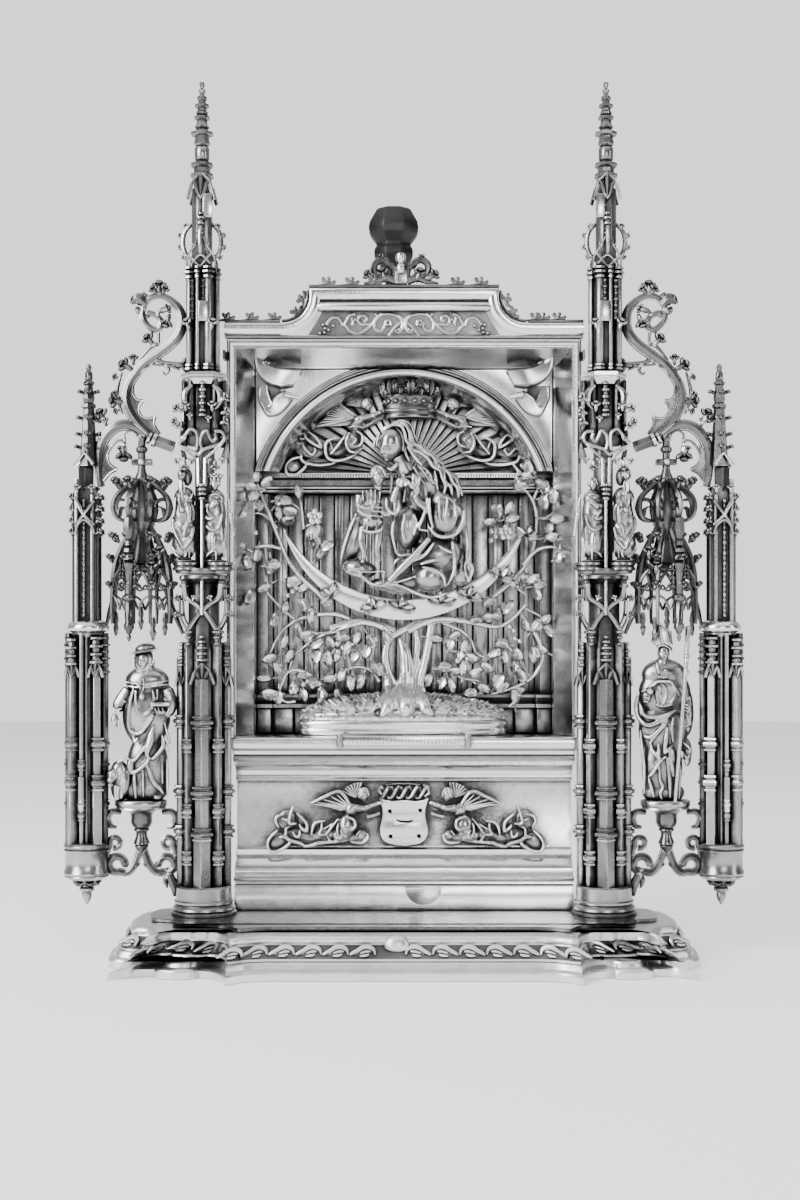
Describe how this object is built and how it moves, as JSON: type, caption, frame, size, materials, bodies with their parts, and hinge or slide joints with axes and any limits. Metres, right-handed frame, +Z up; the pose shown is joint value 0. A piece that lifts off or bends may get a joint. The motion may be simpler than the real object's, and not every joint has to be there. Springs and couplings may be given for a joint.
{
  "type": "pax tablet",
  "caption": "Silver pax like a small altarpiece: stepped foot, base storey, deep frame with an arched niche of figures, clustered piers with canopies and scrolls, handle behind.",
  "frame": {"origin": "on the ground in the middle of the foot", "axes": "+Z up, +X to the right seen from the front, the front faces -Y"},
  "size_m": [0.3428, 0.144, 0.44],
  "materials": {
    "polished_silver": "polished silver with worn edges and soft grey tarnish",
    "cast_silver": "cast silver, bright on the high parts and dark in the folds",
    "darkened_silver": "tarnished silver, near black in the recesses",
    "handle_metal": "dark, almost black metal"
  },
  "bodies": {
    "root": {"archivolt": "polished_silver", "back_plate": "darkened_silver", "console_left": "darkened_silver", "console_right": "darkened_silver", "crescent": "polished_silver", "crest": "polished_silver", "cresting": "darkened_silver", "crown": "darkened_silver", "crown_angel_left": "cast_silver", "crown_angel_right": "cast_silver", "deck": "darkened_silver", "entablature": "cast_silver", "figure_with_lion": "cast_silver", "figure_with_staff": "cast_silver", "finial": "darkened_silver", "foot_moulding": "polished_silver", "frame": "polished_silver", "handle": "handle_metal", "hanging_canopy_left": "darkened_silver", "hanging_canopy_right": "darkened_silver", "inner_pier_left": "cast_silver", "inner_pier_right": "cast_silver", "inscription_plate": "polished_silver", "leaf_frieze": "polished_silver", "mother_and_child": "cast_silver", "mound": "cast_silver", "outer_pier_left": "darkened_silver", "outer_pier_right": "darkened_silver", "palisade": "darkened_silver", "pier_canopy_left": "darkened_silver", "pier_canopy_right": "darkened_silver", "pier_figure_left_1": "cast_silver", "pier_figure_left_2": "cast_silver", "pier_figure_right_1": "cast_silver", "pier_figure_right_2": "cast_silver", "predella": "polished_silver", "predella_angel_left": "cast_silver", "predella_angel_right": "cast_silver", "ribbon_left": "polished_silver", "ribbon_right": "polished_silver", "scroll_arch_left": "darkened_silver", "scroll_arch_right": "darkened_silver", "shelf": "polished_silver", "shield": "cast_silver", "shoulder_cresting_left": "darkened_silver", "shoulder_cresting_right": "darkened_silver", "spandrel_left": "polished_silver", "spandrel_right": "polished_silver", "sunburst": "cast_silver", "tower_left": "cast_silver", "tower_right": "cast_silver", "tree": "cast_silver"}
  },
  "joints": []
}
